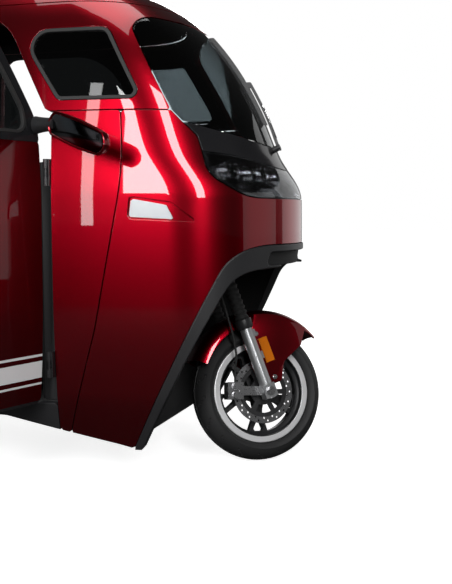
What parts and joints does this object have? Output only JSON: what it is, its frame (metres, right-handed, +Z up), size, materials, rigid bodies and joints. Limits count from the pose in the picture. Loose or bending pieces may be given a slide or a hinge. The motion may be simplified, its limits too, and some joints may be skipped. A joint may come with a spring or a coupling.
{
  "type": "three-wheeled microcar",
  "caption": "Closed cabin microcar on a steered front wheel and a driven rear pair, with front-hinged doors, a boot lid and a hollow cabin with seats.",
  "frame": {"origin": "on the ground under the middle of the whole vehicle", "axes": "+X forward, +Y to the left, +Z up"},
  "size_m": [2.1767, 2.2708, 1.69],
  "materials": {
    "red_paint": "deep metallic red gloss",
    "black_trim": "satin black",
    "black_steel": "satin black paint",
    "grey_trim": "satin grey",
    "dark_glass": "tinted",
    "clear_lens": "clear",
    "amber_lens": "amber reflector",
    "red_lens": "red lens",
    "silver_metal": "silver paint",
    "disc_steel": "machined",
    "black_cast": "black with a polished lip",
    "tyre_rubber": "matte",
    "seat_cover": "soft black",
    "soft_rubber": "matte"
  },
  "bodies": {
    "chassis": {"frame": "black_steel", "nose_panel": "red_paint", "side_fairings": "red_paint", "front_trim": "black_trim", "wheel_well": "black_trim", "cowl": "grey_trim", "headlamp_lens": "clear_lens", "headlamp_units": "grey_trim", "windscreen": "dark_glass", "side_indicators": "clear_lens", "wiper": "black_trim", "cabin_frame": "black_steel", "fixed_windows": "dark_glass", "roof": "black_trim", "rear_body": "red_paint", "rear_bumper": "black_trim", "tail_lamps": "red_lens", "sills": "black_trim", "hinge_brackets": "black_steel", "floor_pan": "black_steel", "rear_deck": "black_trim", "dash": "black_trim", "battery_box": "black_trim", "seat_cushions": "seat_cover", "seat_backs": "seat_cover", "rear_axle": "black_steel", "rear_springs": "black_steel"},
    "steering": {"steering_column": "black_steel", "handlebar": "black_steel", "fork_sliders": "silver_metal", "fork_gaiters": "soft_rubber", "front_axle": "disc_steel", "front_fender": "red_paint", "reflectors": "amber_lens", "brake_caliper": "silver_metal", "brake_hose": "soft_rubber"},
    "front_wheel": {"front_tyre": "tyre_rubber", "front_rim": "black_cast", "brake_disc": "disc_steel"},
    "rear_left_wheel": {"rear_left_tyre": "tyre_rubber", "rear_left_rim": "black_cast"},
    "rear_right_wheel": {"rear_right_tyre": "tyre_rubber", "rear_right_rim": "black_cast"},
    "left_door": {"left_door_skin": "red_paint", "left_door_frame": "black_steel", "left_door_glass": "dark_glass", "left_mirror": "black_trim"},
    "right_door": {"right_door_skin": "red_paint", "right_door_frame": "black_steel", "right_door_glass": "dark_glass", "right_mirror": "black_trim"},
    "boot_lid": {"boot_lid": "red_paint"}
  },
  "joints": [
    {"name": "steering", "type": "hinge", "parent": "chassis", "child": "steering", "pos_m": [0.63893, 0, 0.78902], "axis": [-0.3584, 0, 0.9336], "range_deg": [-85, 5]},
    {"name": "front_wheel_spin", "type": "hinge", "parent": "steering", "child": "front_wheel", "pos_m": [0.87898, 0.0225, 0.23848], "axis": [-0.6001, 0.766, -0.2304], "continuous": true},
    {"name": "rear_left_wheel_spin", "type": "hinge", "parent": "chassis", "child": "rear_left_wheel", "pos_m": [-0.71337, 0.365, 0.243], "axis": [0, 1, 0], "continuous": true},
    {"name": "rear_right_wheel_spin", "type": "hinge", "parent": "chassis", "child": "rear_right_wheel", "pos_m": [-0.71337, -0.365, 0.243], "axis": [0, 1, 0], "continuous": true},
    {"name": "right_door_hinge", "type": "hinge", "parent": "chassis", "child": "right_door", "pos_m": [0.30863, -0.474, 0.7], "axis": [0, 0, 1], "range_deg": [-70, 5]},
    {"name": "left_door_hinge", "type": "hinge", "parent": "chassis", "child": "left_door", "pos_m": [0.30863, 0.474, 0.7], "axis": [0, 0, -1], "range_deg": [-70, 5]},
    {"name": "boot_lid_hinge", "type": "hinge", "parent": "chassis", "child": "boot_lid", "pos_m": [-1.06937, 0, 0.989], "axis": [0, 1, 0], "range_deg": [0, 75]}
  ]
}
